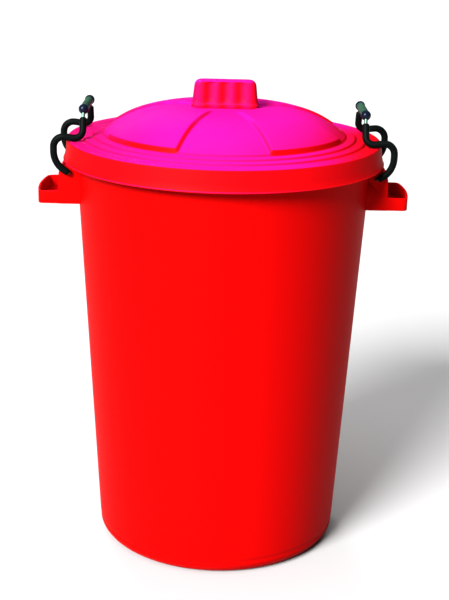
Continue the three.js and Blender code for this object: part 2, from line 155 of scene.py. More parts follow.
class ClipSettings(bpy.types.PropertyGroup):
    """Sizes of the two wire clips."""

    wire: length("Wire", 0.0025, "Radius of the wire")
    sleeve: length("Sleeve", 0.0052, "Radius of the sleeves on the legs")
    leg_y: length("Leg", 0.062, "Distance of a leg from the middle of the clip")
    stub: length("Stub", 0.015, "Length of the wire's end that turns into the handle")
    foot_bend: length("Foot bend", 0.007, "Bend where the wire's end turns into the handle")
    hook_x: length("Hook", 0.2455, "Outermost centreline, from the can's axis")
    hook_rise: length("Hook rise", 0.013, "Foot of the hook above the pivot")
    hook_bend: length("Hook bend", 0.032, "Bend at the foot of the hook")
    arch_z: length("Arch", 0.6352, "Height of the arch's corner")
    arch_bend: length("Arch bend", 0.015, "Bend at the top of the arch")
    upright_x: length("Upright", 0.2035, "Upright's centreline, from the can's axis")
    dip_z: length("Dip", 0.63, "Height of the dip's corner")
    dip_bend: length("Dip bend", 0.012, "Bend at the bottom of the dip")
    bar_z: length("Bar height", 0.671, "Height of the top bar")
    bar: length("Bar", 0.088, "Length of the top bar between its corners")
    bar_bend: length("Bar bend", 0.007, "Bend at each end of the top bar")
    collar: length("Collar", 0.0074, "Radius of the collars")
    bare: length("Bare wire", 0.0044, "Bare wire between a collar and a sleeve")
    bar_sleeve: length("Bar sleeve", 0.0048, "Radius of the bar's sleeve between its ribs")
    rib: length("Rib", 0.0012, "Height of the bar sleeve's ribs")
    ribs: IntProperty(name="Ribs", default=11, min=2, description="Ribs on the bar's sleeve")


class FinishSettings(bpy.types.PropertyGroup):
    """Colours of the plastics, the painted sheen and the wire."""

    can_red: colour("Can red", (0.36, 0.0003, 0.0003), "The can's plastic")
    lid_red: colour("Lid red", (0.37, 0.0008, 0.002), "The lid's plastic on upright faces")
    # Painted sheen: pink laid over the red where faces turn up or towards the key light, in place of the
    # light on them.
    sheen_pink: colour("Sheen pink", (0.38, 0.0026, 0.152), "The lid's plastic where it faces up")
    sleeve_black: colour("Sleeve black", (0.0012, 0.002, 0.0018), "Sleeves on the legs")
    # Partly painted highlight: the bar's black is lightened to grey-green, standing in for the sheen on
    # its ribs.
    bar_black_and_sheen: colour("Bar black and sheen", (0.013, 0.036, 0.022), "Ribbed sleeve on the bar")
    collar_blue: colour("Collar blue", (0.0018, 0.0036, 0.01), "Collars")
    zinc: colour("Zinc", (0.07, 0.15, 0.1), "Plated wire")


class StageSettings(bpy.types.PropertyGroup):
    """Floor, lights and camera."""

    floor_size: length("Floor size", 24.0, "Side of the square floor")
    floor_tone: colour("Floor tone", (0.33, 0.33, 0.33), "The floor's colour")
    key_power: FloatProperty(name="Key", default=13.6, min=0.0, description="Soft light from front left")
    top_power: FloatProperty(name="Top", default=2.8, min=0.0, description="Soft light from overhead")
    back_power: FloatProperty(name="Back", default=2.5, min=0.0, description="Soft light from behind")
    world: FloatProperty(name="World", default=0.07, min=0.0, description="World's strength")
    camera_distance: length("Camera distance", 1.90025, "Camera to the can's axis, along -Y")
    camera_height: length("Camera height", 0.98335, "Camera above the floor")
    camera_pitch: FloatProperty(
        name="Pitch", default=0.31106, unit="ROTATION", description="How far it looks down"
    )
    camera_roll: FloatProperty(
        name="Roll", default=0.02318, unit="ROTATION", description="Turn about its own axis"
    )
    camera_yaw: FloatProperty(
        name="Yaw", default=0.0031, unit="ROTATION", description="Turn about the vertical"
    )
    focal_length: FloatProperty(
        name="Focal length", default=77.59, min=1.0, description="Millimetres, 36 mm sensor"
    )


# ---- Materials -------------------------------------------------------------------------------


class Shade:
    """An output in a material's nodes; arithmetic on it adds Math nodes."""

    def __init__(self, tree, socket):
        self.tree, self.socket = tree, socket

    def math(self, operation, *others, clamp=False):
        settings = {"operation": operation, "use_clamp": clamp}
        return self.tree.node("ShaderNodeMath", settings, [self, *others])

    def __add__(self, other):
        return self.math("ADD", other)

    def __sub__(self, other):
        return self.math("SUBTRACT", other)

    def __mul__(self, other):
        return self.math("MULTIPLY", other)

    def __rsub__(self, other):
        return self.tree.node("ShaderNodeMath", {"operation": "SUBTRACT"}, [other, self])

    __radd__ = __add__
    __rmul__ = __mul__

    def clamp(self):
        return self.math("ADD", 0.0, clamp=True)

    def positive(self):
        return self.math("MAXIMUM", 0.0)

    def ramp(self, low, high, out_low=0.0, out_high=1.0):
        """Smooth step from out_low at low to out_high at high."""
        settings = {"interpolation_type": "SMOOTHSTEP"}
        return self.tree.node("ShaderNodeMapRange", settings, [self, low, high, out_low, out_high])


class Finish:
    """A new material; node() adds any node and returns one of its outputs."""

    def __init__(self, name):
        self.material = bpy.data.materials.new(name)
        self.material.use_nodes = True
        self.nodes = self.material.node_tree.nodes
        self.links = self.material.node_tree.links
        self.surface = self.nodes["Principled BSDF"]

    def node(self, kind, settings=None, values=(), output=0):
        made = self.nodes.new(kind)
        for name, value in (settings or {}).items():
            setattr(made, name, value)
        for key, value in values.items() if isinstance(values, dict) else enumerate(values):
            self.set(made.inputs[key], value)
        return Shade(self, made.outputs[output])

    def set(self, socket, value):
        if isinstance(value, Shade):
            self.links.new(value.socket, socket)
        else:
            socket.default_value = value

    def mix(self, factor, first, second):
        """Colour between first and second."""
        settings = {"data_type": "RGBA"}
        values = {0: factor, 6: first, 7: second}
        return self.node("ShaderNodeMix", settings, values, 2)

    def principled(self, **values):
        for name, value in values.items():
            self.set(self.surface.inputs[name.replace("_", " ").title()], value)

    def place(self):
        return self.node("ShaderNodeTexCoord", output="Object")

    def axes(self, vector):
        """The vector's three numbers."""
        split = self.node("ShaderNodeSeparateXYZ", values=[vector])
        return [Shade(self, out) for out in split.socket.node.outputs]

    def noise(self, scale, detail=2.0, stretch=(1, 1, 1), roughness=0.5):
        place = self.node("ShaderNodeMapping", values={0: self.place(), 3: stretch})
        values = {"Vector": place, "Scale": scale, "Detail": detail, "Roughness": roughness}
        return self.node("ShaderNodeTexNoise", values=values)

    def bump(self, height, strength, distance):
        values = {"Strength": strength, "Distance": distance, "Height": height}
        normal = self.node("ShaderNodeBump", values=values)
        self.set(self.surface.inputs["Normal"], normal)


def rgba(rgb, scale=1.0):
    return (*[value * scale for value in rgb], 1.0)


def red_plastic(name, red, sheen_tint, most, grip_sheen, flute_pitch):
    """Moulded polyethylene: fine grain, faint flow marks and scuffs; painted sheen where it faces up.

    most is the painted sheen's share on level faces and grip_sheen its share on the flutes' ridges;
    painted shade darkens their grooves. The painted sheen fades out towards the right, and painted
    shade darkens the can's foot there.
    """
    # Where the painted sheen fades at the left and right and its share at the right, the heights where
    # it starts on the dome and the lid handle, and where the foot's painted shade ends.
    left_fade, right_fade, right_sheen = (-0.24, -0.06), (-0.677, -0.547), 0.02
    dome_foot, grip_foot, can_foot = (0.632, 0.64), (0.664, 0.668), (0.0, 0.03)
    # Painted shade in the flutes sits this far left of each groove, on the flank turned from the key
    # light.
    flute_shade_shift = 0.004
    finish = Finish(name)
    facing = finish.node("ShaderNodeTexCoord", output="Normal")
    side, front, up = finish.axes(facing)
    x, y, z = finish.axes(finish.place())
    mottle = finish.noise(7.0, 3.0)
    flow = finish.noise(16.0, 3.0, (1, 1, 0.12))
    grain = finish.noise(900.0, 2.0)
    dimple = finish.noise(150.0, 1.0)
    scuff = finish.noise(60.0, 6.0, (1, 1, 0.3), 0.75)
    # Painted sheen: strongest on faces turned up, less where they turn right or to the front.
    towards_sky = (up - side.positive() * 0.3 - front * 0.06).ramp(0.45, 1.0)
    # Painted light falloff: the sheen fades out towards the right, low down and at the back, and is
    # weaker at the far left.
    beyond = x - z * 1.2 - y.positive() * 0.6
    lit = beyond.ramp(*right_fade, 1.0, right_sheen) * x.ramp(*left_fade, 0.45, 1.0)
    # Painted sheen on the dome's faces turned towards the key light at the front left.
    key_facing_sheen = (front - side).positive() * z.ramp(*dome_foot, 0.0, grip_sheen * 1.5)
    # Painted light on the lid handle: sheen above its foot, taken out along each flute's groove as
    # painted shade.
    wave = ((x + flute_shade_shift) * (math.tau / flute_pitch)).math("COSINE")
    flute_shade = 1.0 - (wave * 0.5 + 0.5) * 0.92
    rise = z.ramp(*grip_foot, 0.0, grip_sheen)
    # Share of painted sheen laid over the red.
    painted_sheen = (towards_sky * lit * most + rise * flute_shade + key_facing_sheen).clamp()
    tone = (0.9 + mottle * 0.12 + flow * 0.06).clamp()
    mottled_red = finish.mix(tone, rgba(red, 0.86), rgba(red))
    mottled_sheen = finish.mix(tone, rgba(sheen_tint, 0.9), rgba(sheen_tint))
    # Painted shade: the foot darkens towards black near the floor on faces turned to the right.
    shadow = 1.0 - z.ramp(*can_foot, 0.6, 0.0) * side.positive()
    # The red with the painted sheen laid over it.
    plastic_and_sheen = finish.mix(painted_sheen, mottled_red, mottled_sheen)
    base = finish.mix(shadow, rgba((0.0, 0.0, 0.0)), plastic_and_sheen)
    worn = scuff.ramp(0.62, 0.78)
    rough = 0.46 + grain * 0.06 + flow * 0.06 + worn * 0.12
    finish.principled(base_color=base, roughness=rough)
    finish.surface.inputs["Specular IOR Level"].default_value = 0.015
    finish.bump(grain * 0.5 + dimple + worn * 0.6, 0.12, 0.00035)
    return finish.material


def black_plastic(name, tint, gloss, grain_scale, shine):
    """Black plastic with a fine grain and rubbed patches."""
    finish = Finish(name)
    grain = finish.noise(grain_scale, 2.0)
    rubbed = finish.noise(90.0, 4.0).ramp(0.5, 0.72)
    base = finish.mix(rubbed * 0.6, rgba(tint), rgba(tint, 2.2))
    finish.principled(base_color=base, roughness=gloss + grain * 0.1 + rubbed * 0.08)
    finish.surface.inputs["Specular IOR Level"].default_value = shine
    finish.bump(grain, 0.18, 0.0003)
    return finish.material


def zinc_wire(tint):
    """Bright zinc plate with fine drawing lines."""
    finish = Finish("zinc_wire")
    lines = finish.noise(1400.0, 2.0, (1, 1, 0.05))
    cloud = finish.noise(120.0, 3.0)
    base = finish.mix(cloud, rgba(tint, 0.75), rgba(tint, 1.15))
    finish.principled(base_color=base, roughness=0.36 + lines * 0.16, metallic=1.0)
    finish.bump(lines, 0.12, 0.0002)
    return finish.material


# ---- Meshes ----------------------------------------------------------------------------------


def soft_ramp(value, low, high, ease=0.2):
    """Straight rise from 0 at low to 1 at high, eased over a short share of each end."""
    share = min(max((value - low) / (high - low), 0.0), 1.0)
    if share > 0.5:
        return 1 - soft_ramp(high + low - value, low, high, ease)
    if share < ease:
        return share * share / (2 * ease * (1 - ease))
    return (share - ease / 2) / (1 - ease)


def arc(centre, radius, start, stop, steps):
    """Points on an arc between two angles in degrees."""
    angles = [math.radians(start + (stop - start) * i / steps) for i in range(steps + 1)]
    return [(centre[0] + radius * math.cos(a), centre[1] + radius * math.sin(a)) for a in angles]


def spin(bm, profile, steps, axis=(0, 0, 1), centre=(0, 0, 0)):
    """Turns a profile of [radius, distance along the axis] right round, and closes its poles."""
    along = Vector(axis)
    out = Vector((1, 0, 0))
    verts = [bm.verts.new(Vector(centre) + out * r + along * h) for r, h in profile]
    edges = [bm.edges.new(pair) for pair in zip(verts, verts[1:])]
    bmesh.ops.spin(
        bm, geom=verts + edges, cent=centre, axis=axis, angle=math.tau, steps=steps, use_merge=True
    )
    bmesh.ops.remove_doubles(bm, verts=bm.verts, dist=TINY)
    bmesh.ops.recalc_face_normals(bm, faces=bm.faces)


def make_piece(name, bm, material, body, nodes, sharp=40.0):
    """Turns a bmesh into a named piece that rides on a body and stands for CAD nodes."""
    mesh = bpy.data.meshes.new(name)
    bm.to_mesh(mesh)
    bm.free()
    piece = bpy.data.objects.new(name, mesh)
    bpy.context.scene.collection.objects.link(piece)
    mesh.materials.append(material)
    mesh.shade_smooth()
    mesh.set_sharp_from_angle(angle=math.radians(sharp))
    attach(piece, body)
    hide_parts(*nodes)
    return piece


def wall_radius(sizes, z):
    return sizes.base_radius + (sizes.wall_radius - sizes.base_radius) * z / CAN_TOP.z


def can_profile(sizes):
    """The can's section, from the middle of its underside round to the middle of its floor."""
    foot = wall_radius(sizes, sizes.foot_fillet) - sizes.foot_fillet
    inner = foot - sizes.foot_width
    top, rim, lip = CAN_TOP.z, CAN_TOP.x, sizes.rim_wall
    under = top - lip
    ring = sizes.foot_recess + sizes.floor
    inside = sizes.wall_radius - sizes.wall
    edge = lip * 0.45
    rounding = 0.0015  # where the wall turns out under the rim
    ring_edge = ((0.006, 1.0), (0.004, 0.7), (0.002, 0.2), (0.0, 0.0))
    low_wall = [sizes.foot_fillet + 0.0012 + i * 0.001 for i in range(8)]
    start, stop = sizes.foot_fillet + 0.0112, under - 0.002
    high_wall = [start + (stop - start) * i / 12 for i in range(13)]

    def grooved(point):
        """The point moved in by the two shallow rings round the foot."""
        upper = math.exp(-(((point[1] - sizes.foot_fillet * 1.08) / 0.0034) ** 2))
        lower = math.exp(-(((point[1] - sizes.foot_fillet * 0.4) / 0.0016) ** 2))
        return (point[0] - sizes.foot_groove * (upper + lower * 0.7), point[1])

    return [
        (0, sizes.foot_recess),
        *[(inner - back, sizes.foot_recess * share) for back, share in ring_edge],
        *[grooved(point) for point in arc((foot, sizes.foot_fillet), sizes.foot_fillet, -90, -2, 36)],
        *[grooved((wall_radius(sizes, z), z)) for z in low_wall],
        *[(wall_radius(sizes, z), z) for z in high_wall],
        *arc((wall_radius(sizes, under) + rounding, under - rounding), rounding, 180, 90, 4),
        (rim - lip, under),
        (rim - lip, top - sizes.rim_drop + lip / 3),
        *arc((rim - lip / 2, top - sizes.rim_drop + lip / 2), lip / 2, 180, 360, 6),
        *arc((rim - edge, top - edge), edge, 0, 90, 5),
        *arc((inside + edge, top - edge), edge, 90, 180, 5),
        *arc((foot, ring + sizes.foot_fillet), sizes.foot_fillet - sizes.wall, 0, -90, 10),
        (inner - sizes.floor, ring),
        (0, ring),
    ]


def tray_outline(reach, half, corner, steps):
    """Half-round corners and a long arc about the can's axis, from -Y to +Y."""
    x = math.sqrt((reach - corner) ** 2 - (half - corner) ** 2)
    turn = math.degrees(math.atan2(half - corner, x))
    return [
        *arc((x, corner - half), corner, -90, -turn, 5),
        *arc((0, 0), reach, -turn, turn, steps)[1:-1],
        *arc((x, half - corner), corner, turn, 90, 5),
    ]


def raise_faces(bm, faces, z):
    """Extrudes the faces up to a height and returns the new top faces."""
    made = bmesh.ops.extrude_face_region(bm, geom=faces)["geom"]
    for vert in made:
        if isinstance(vert, bmesh.types.BMVert):
            vert.co.z = z
    return [face for face in made if isinstance(face, bmesh.types.BMFace)]


def hollow_block(bm, block, wall, roof):
    """Hollows the handle's inner block from below, up to its roof."""
    underside = [
        face
        for face in bm.faces
        if face.normal.z < -0.9 and face.calc_center_median().x < block - wall
    ]
    bmesh.ops.inset_region(bm, faces=underside, thickness=wall, use_even_offset=True)
    raise_faces(bm, underside, roof)
    bmesh.ops.delete(bm, geom=[face for face in underside if face.is_valid], context="FACES_ONLY")
    bmesh.ops.recalc_face_normals(bm, faces=bm.faces)


def soften_edges(bm, width, near_wall):
    """Rounds the sharp edges that stand clear of the can's wall."""
    edges = [
        edge
        for edge in bm.edges
        if len(edge.link_faces) == 2
        and edge.calc_face_angle() > math.radians(35)
        and min(vert.co.xy.length for vert in edge.verts) > near_wall
    ]
    bmesh.ops.bevel(
        bm, geom=edges, offset=width, segments=3, profile=0.5, affect="EDGES", material=-1,
        clamp_overlap=True,
    )


def side_handle(sizes):
    """The +X side handle: an open tray outside a block that is hollow from below."""
    half = TRAY_HIGH.y
    wall, block = sizes.handle_wall, sizes.block_reach
    low, high = TRAY_LOW.z, TRAY_HIGH.z
    tray_top = low + sizes.tray_height
    bm = bmesh.new()

    def corners(points):
        return [bm.verts.new((x, y, low)) for x, y in points]

    outer = corners([(block, -half), *tray_outline(TRAY_HIGH.x, half, sizes.handle_corner, 16)])
    outer += corners([(block, half)])
    inner_corner = sizes.handle_corner - wall
    inner = tray_outline(TRAY_HIGH.x - wall, half - wall, inner_corner, 16)
    inner = corners([(block, wall - half), *inner, (block, half - wall)])
    against = corners([(sizes.base_radius, half - 2 * half * i / 16) for i in range(17)])
    block_face = bm.faces.new([*against, outer[0], inner[0], inner[-1], outer[-1]])
    wall_face = bm.faces.new([*outer, *reversed(inner)])
    pocket_face = bm.faces.new(inner)
    bmesh.ops.recalc_face_normals(bm, faces=bm.faces)
    base = [block_face, wall_face, pocket_face]
    tops = raise_faces(bm, base, low + wall)
    kept = [
        face
        for face in tops
        if face.calc_center_median().x < block or len(face.verts) > len(outer)
    ]
    tops = raise_faces(bm, kept, tray_top)
    tops = [face for face in tops if face.calc_center_median().x < block]
    tops = raise_faces(bm, tops, high - sizes.lean_height)
    tops = raise_faces(bm, tops, high)
    for vert in tops[0].verts:
        if vert.co.x > block - TINY:
            vert.co.x -= sizes.block_lean
    bmesh.ops.recalc_face_normals(bm, faces=bm.faces)
    for vert in bm.verts:
        if abs(vert.co.x - sizes.base_radius) < TINY:
            middle = wall_radius(sizes, vert.co.z) - sizes.wall / 2
            vert.co.x = math.sqrt(middle**2 - vert.co.y**2)
    hollow_block(bm, block, wall, high - wall)
    soften_edges(bm, sizes.edge, wall_radius(sizes, low) + 0.0006)
    return bm


class WASTECAN_OT_can(bpy.types.Operator):
    """Build the can with its foot, rolled rim and two side handles"""

    bl_idname = "wastecan.can"
    bl_label = "Can and side handles"

    def execute(self, context):
        sizes = context.scene.waste_can
        finish = context.scene.waste_finish
        bm = bmesh.new()
        spin(bm, can_profile(sizes), 192)
        plastic_and_sheen = red_plastic("red_can_plastic", finish.can_red, finish.sheen_pink, 0.05, 0.0, 1.0)
        make_piece("can_moulding", bm, plastic_and_sheen, "can", ["can_body"])
        for name, side in SIDES.items():
            bm = side_handle(sizes)
            if side < 0:
                bmesh.ops.rotate(bm, verts=bm.verts, matrix=Matrix.Rotation(math.pi, 3, "Z"))
            node = f"{name}_handle"
            make_piece(f"{node}_moulding", bm, plastic_and_sheen, "can", [node])
        return {"FINISHED"}


class LidShape:
    """Radii and heights of the lid's upper face."""

    def __init__(self, sizes):
        self.sizes = sizes
        self.flange_z = LID_LOW.z + sizes.skirt_height
        self.flange_outer = LID_TOP.x - sizes.skirt_draft
        self.first_step = self.flange_outer - sizes.flange
        self.second_step = self.first_step - sizes.outer_ring
        self.dome_edge = self.second_step - sizes.inner_ring
        self.ring_z = self.flange_z + 2 * sizes.step
        self.foot_z = self.ring_z + sizes.step
        self.shoulder = (sizes.grip_length / 2, self.foot_z + sizes.dome_rise)

    def height(self, radius, angle):
        """Height of the upper face; raised sectors have soft rounded edges."""
        sizes, run = self.sizes, self.sizes.step_run
        z = self.flange_z
        z += sizes.step * soft_ramp(self.first_step - radius, 0, run)
        z += sizes.step * soft_ramp(self.second_step - radius, 0, run)
        if radius >= self.dome_edge:
            return z
        foot = self.dome_edge - run
        outside = max(radius - sizes.crown, 0.0) / (foot - sizes.crown)
        fall = sizes.dome_rise * min(outside, 1.0) ** sizes.fullness
        base = self.foot_z + sizes.dome_rise - fall
        z += (base - self.ring_z) * soft_ramp(self.dome_edge - radius, 0, run)
        beyond = max(radius - self.shoulder[0], 0.0) / (foot - self.shoulder[0])
        raised = sizes.sector_raise * min(beyond, 1.0) ** sizes.sector_growth
        off = abs(angle % (math.pi / 2) - math.pi / 4)
        shift = sizes.side_run * 0.5
        inside_side = (sizes.sector_width / 2 - off) * radius + shift
        inside_side *= sizes.edge_run / sizes.side_run
        corner = sizes.sector_corner
        inside_edge = self.dome_edge - sizes.sector_inset - radius
        distance = min(inside_edge, inside_side)
        if max(inside_edge, inside_side) < corner:
            distance = corner - math.hypot(corner - inside_edge, corner - inside_side)
        return z + raised * soft_ramp(distance, 0.0, sizes.edge_run)

    def rows(self):
        """Radii of the rows of the upper face, close together where it steps."""
        run = self.sizes.step_run
        crown_rows, flank_rows, foot_rows = 8, 30, 24
        crown = self.shoulder[0]
        foot = self.dome_edge - self.sizes.sector_corner - 0.008
        rows = [crown * (i / crown_rows) ** 0.7 for i in range(crown_rows + 1)]
        rows += [crown + (foot - crown) * (i / flank_rows) ** 1.4 for i in range(1, flank_rows + 1)]
        rows += [foot + (self.dome_edge - foot) * i / foot_rows for i in range(1, foot_rows + 1)]
        for step in (self.second_step, self.first_step):
            rows += [rows[-1] + (step - run - rows[-1]) * i / 2 for i in (1, 2)]
            rows += [step - run + run * i / 7 for i in range(1, 8)]
        return rows

    def skirt(self):
        """The section outside the first step: flange, rounded edge, skirt and lower bead."""
        bead, low = self.sizes.bead, LID_LOW.z
        top = 0.0022  # rounding between the flange and the skirt
        return [
            (self.flange_outer - 0.014, self.flange_z),
            (self.flange_outer - 0.005, self.flange_z),
            *arc((self.flange_outer - top, self.flange_z - top), top, 90, 10, 7),
            (LID_TOP.x - bead - 0.0024, low + 0.012),
            (LID_TOP.x - bead - 0.0004, low + 0.0034),
            (LID_TOP.x - bead, low + 0.0026),
            *arc((LID_TOP.x - bead, low + bead * 1.3), bead, 60, -90, 6),
            (LID_TOP.x - bead * 1.6, low),
        ]


def lid_grip(bm, sizes, shape):
    """The fluted handle on the lid, open below, with a low plinth, draft and a rounded top."""
    half_x, half_y = sizes.grip_length / 2, sizes.grip_depth / 2
    corner, pitch, edge, end = sizes.grip_corner, sizes.flute_pitch, sizes.grip_edge, sizes.grip_end
    base, high = shape.shoulder[1], LID_TOP.z - SLACK
    steps, fluted = 90, 1.5 * pitch
    half = [
        *[(fluted * (2 * i / steps - 1), -half_y) for i in range(steps + 1)],
        *arc((half_x - corner, corner - half_y), corner, -90, 0, 8),
        *arc((half_x - corner, half_y - corner), corner, 0, 90, 8),
    ]
    plinth = base + sizes.plinth
    face = high - end - plinth
    # Each level is its height, how far its face stands out and the share of the flutes' depth.
    levels = [(base - 0.006, 0.0004, 0.0)]
    levels += [(plinth - 0.0012, 0.0007, 0.0), (plinth - 0.0004, 0.0004, 0.0)]
    levels += [(plinth + face * i / 8, 0.0, soft_ramp(i, -0.2, 2.2)) for i in range(9)]
    for i in range(1, 10):
        z = high - end * (1 - math.sin(math.radians(10 * i)))
        levels.append((z, 0.0, soft_ramp(high - z, edge * 0.3, edge * 1.4)))
    verts = [bm.verts.new((x, y, 0)) for x, y in half + [(-x, -y) for x, y in half]]
    edges = [bm.edges.new(pair) for pair in zip(verts, verts[1:] + verts[:1])]
    rings = [verts]
    for _ in levels[1:]:
        made = bmesh.ops.extrude_edge_only(bm, edges=edges)["geom"]
        rings.append([item for item in made if isinstance(item, bmesh.types.BMVert)])
        ring = set(rings[-1])
        edges = [item for item in made if isinstance(item, bmesh.types.BMEdge)]
        edges = [item for item in edges if all(vert in ring for vert in item.verts)]
    for ring, (z, out, groove) in zip(rings, levels):
        lean = sizes.grip_draft * (z - base) / (high - base) - out
        over_x, over_y = max(z - high + end, 0.0) / end, max(z - high + edge, 0.0) / edge
        x_scale = 1 - (lean + end * (1 - math.sqrt(1 - min(over_x, 1.0) ** 2))) / half_x
        y_scale = 1 - (lean + edge * (1 - math.sqrt(1 - min(over_y, 1.0) ** 2))) / half_y
        for vert in ring:
            x, y = vert.co.xy
            if abs(x) < fluted:
                wave = (1 + math.cos(math.tau * x / pitch)) / 2
                y -= math.copysign(sizes.flute_depth * groove * wave, y)
            vert.co = (x * x_scale, y * y_scale, z)
    for vert in rings[0]:
        turn = math.atan2(vert.co.y, vert.co.x)
        vert.co.z = shape.height(vert.co.xy.length, turn) - sizes.wall / 2
    bmesh.ops.contextual_create(bm, geom=edges)


def crowded(angle, recess, crowd=2.2):
    """The angle moved so that even columns crowd together at the raised sectors' sides."""
    quarter, turns = divmod(angle / (math.tau / 16) + TINY, 4)
    share = min(turns, 4 - turns)
    if share < 1:
        moved = recess * (1 - (1 - share) ** crowd)
    else:
        moved = recess + (math.pi / 4 - recess) * (share - 1) ** crowd
    moved = moved if turns < 2 else math.pi / 2 - moved
    return moved + quarter * math.pi / 2


class WASTECAN_OT_lid(bpy.types.Operator):
    """Build the lid with its skirt, rings, raised sectors and fluted handle"""

    bl_idname = "wastecan.lid"
    bl_label = "Lid and its handle"

    def execute(self, context):
        sizes = context.scene.waste_lid
        finish = context.scene.waste_finish
        shape = LidShape(sizes)
        bm = bmesh.new()
        profile = [(radius, 0.0) for radius in shape.rows()]
        profile += shape.skirt()
        recess = math.pi / 4 - sizes.sector_width / 2
        columns = 320
        spin(bm, profile, columns)
        for vert in bm.verts:
            radius = vert.co.xy.length
            angle = crowded(math.atan2(vert.co.y, vert.co.x), recess)
            vert.co.x, vert.co.y = radius * math.cos(angle), radius * math.sin(angle)
            if vert.co.z == 0.0:
                vert.co.z = shape.height(radius, angle)
        lid_grip(bm, sizes, shape)
        bmesh.ops.recalc_face_normals(bm, faces=bm.faces)
        pitch = sizes.flute_pitch
        plastic_and_sheen = red_plastic("red_lid_plastic", finish.lid_red, finish.sheen_pink, 1.0, 0.34, pitch)
        lid = make_piece("lid_moulding", bm, plastic_and_sheen, "lid", ["lid"], ROUND)
        shell = lid.modifiers.new("Wall", "SOLIDIFY")
        shell.thickness = sizes.wall
        shell.offset = -1.0
        shell.use_even_offset = True
        return {"FINISHED"}


def bent_wire(corners, steps=12):
    """Points along a wire through corners of [x, y, z, bend radius], with its bends as arcs."""
    at = [Vector(corner[:3]) for corner in corners]
    setbacks, turns = [0.0] * len(at), [None] * len(at)
    for i in range(1, len(at) - 1):
        back, on = (at[i - 1] - at[i]).normalized(), (at[i + 1] - at[i]).normalized()
        half = back.angle(on) / 2
        setbacks[i] = corners[i][3] / math.tan(half)
        turns[i] = (back, on, half)
    for i in range(1, len(at)):
        wanted = setbacks[i - 1] + setbacks[i]
        fit = min(1.0, 0.99 * (at[i] - at[i - 1]).length / wanted) if wanted else 1.0
        setbacks[i - 1] *= fit
        setbacks[i] *= fit
    points = [at[0]]
    for i in range(1, len(at) - 1):
        back, on, half = turns[i]
        start = at[i] + back * setbacks[i]
        centre = at[i] + (back + on).normalized() * (setbacks[i] / math.cos(half))
        axis = on.cross(back).normalized()
        for k in range(steps + 1):
            turn = Matrix.Rotation((math.pi - 2 * half) * k / steps, 3, axis)
            points.append(centre + turn @ (start - centre))
    return [*points, at[-1]]


def distances(points):
    total = [0.0]
    for first, second in zip(points, points[1:]):
        total.append(total[-1] + (second - first).length)
    return total


def point_at(points, total, along):
    """The point that distance along the polyline."""
    for i in range(1, len(points)):
        if total[i] >= along:
            share = (along - total[i - 1]) / (total[i] - total[i - 1])
            return points[i - 1].lerp(points[i], share)
    return points[-1]


def stretch(points, start, stop, step=0.0015):
    """The part of a polyline between two distances along it, in even steps."""
    total = distances(points)
    count = max(2, round((stop - start) / step))
    return [point_at(points, total, start + (stop - start) * i / count) for i in range(count + 1)]


def tube(name, points, radius, rounding=0.0):
    """A round tube along points, as a bmesh, with its ends rounded over by rounding."""
    data = bpy.data.curves.new(name, "CURVE")
    data.dimensions = "3D"
    data.bevel_depth = radius
    data.bevel_resolution = 5
    data.use_fill_caps = True
    spline = data.splines.new("POLY")
    total = distances(points)
    spline.points.add(len(points) - 1)
    for spot, point, along in zip(spline.points, points, total):
        spot.co = (*point, 1.0)
        end = min(along, total[-1] - along)
        spot.radius = 1.0
        if rounding and end < rounding:
            spot.radius -= 0.25 * (1.0 - end / rounding) ** 2
    curve = bpy.data.objects.new(name, data)
    bpy.context.scene.collection.objects.link(curve)
    graph = bpy.context.evaluated_depsgraph_get()
    mesh = bpy.data.meshes.new_from_object(curve.evaluated_get(graph))
    bm = bmesh.new()
    bm.from_mesh(mesh)
    bpy.data.objects.remove(curve)
    bpy.data.curves.remove(data)
    bpy.data.meshes.remove(mesh)
    bmesh.ops.remove_doubles(bm, verts=bm.verts, dist=TINY)
    bmesh.ops.recalc_face_normals(bm, faces=bm.faces)
    return bm


def leg_corners(sizes, side, end):
    """Corners of one leg, from its stub to the top bar."""
    pivot, leg = CLIP_HINGE, end * sizes.leg_y
    return [
        (side * pivot.x, leg - end * sizes.stub, pivot.z),
        (side * pivot.x, leg, pivot.z, sizes.foot_bend),
        (side * sizes.hook_x, leg, pivot.z + sizes.hook_rise, sizes.hook_bend),
        (side * sizes.hook_x, leg, sizes.arch_z, sizes.arch_bend),
        (side * sizes.upright_x, leg, sizes.dip_z, sizes.dip_bend),
        (side * sizes.upright_x, end * sizes.bar / 2, sizes.bar_z, sizes.bar_bend),
    ]


def bar_profile(sizes, half):
    """Section of the ribbed sleeve: rounded ribs between narrow valleys."""
    pitch, edge = 2 * half / sizes.ribs, 0.0006
    profile = [(0.0, -half), (sizes.bar_sleeve - edge, -half), (sizes.bar_sleeve, edge - half)]
    for i in range(sizes.ribs):
        start = i * pitch - half
        for share in (0.12, 0.2, 0.3, 0.42, 0.58, 0.7, 0.8, 0.88):
            lift = math.sin(math.pi * (share - 0.1) / 0.8) ** 0.6
            profile.append((sizes.bar_sleeve + sizes.rib * lift, start + pitch * share))
    return [*profile, (sizes.bar_sleeve - edge, half), (0.0, half)]


def collar_profile(radius):
    """Section of a collar: a ball with two shallow rings round it."""
    depth, place, width = 0.06, 28, 6
    profile = []
    for i in range(33):
        angle = math.pi * i / 32 - math.pi / 2
        ring = math.exp(-(((abs(math.degrees(angle)) - place) / width) ** 2))
        r = radius * (1 - depth * ring)
        profile.append((max(r * math.cos(angle), 0.0), r * math.sin(angle)))
    profile[0], profile[-1] = (0.0, -radius), (0.0, radius)
    return profile


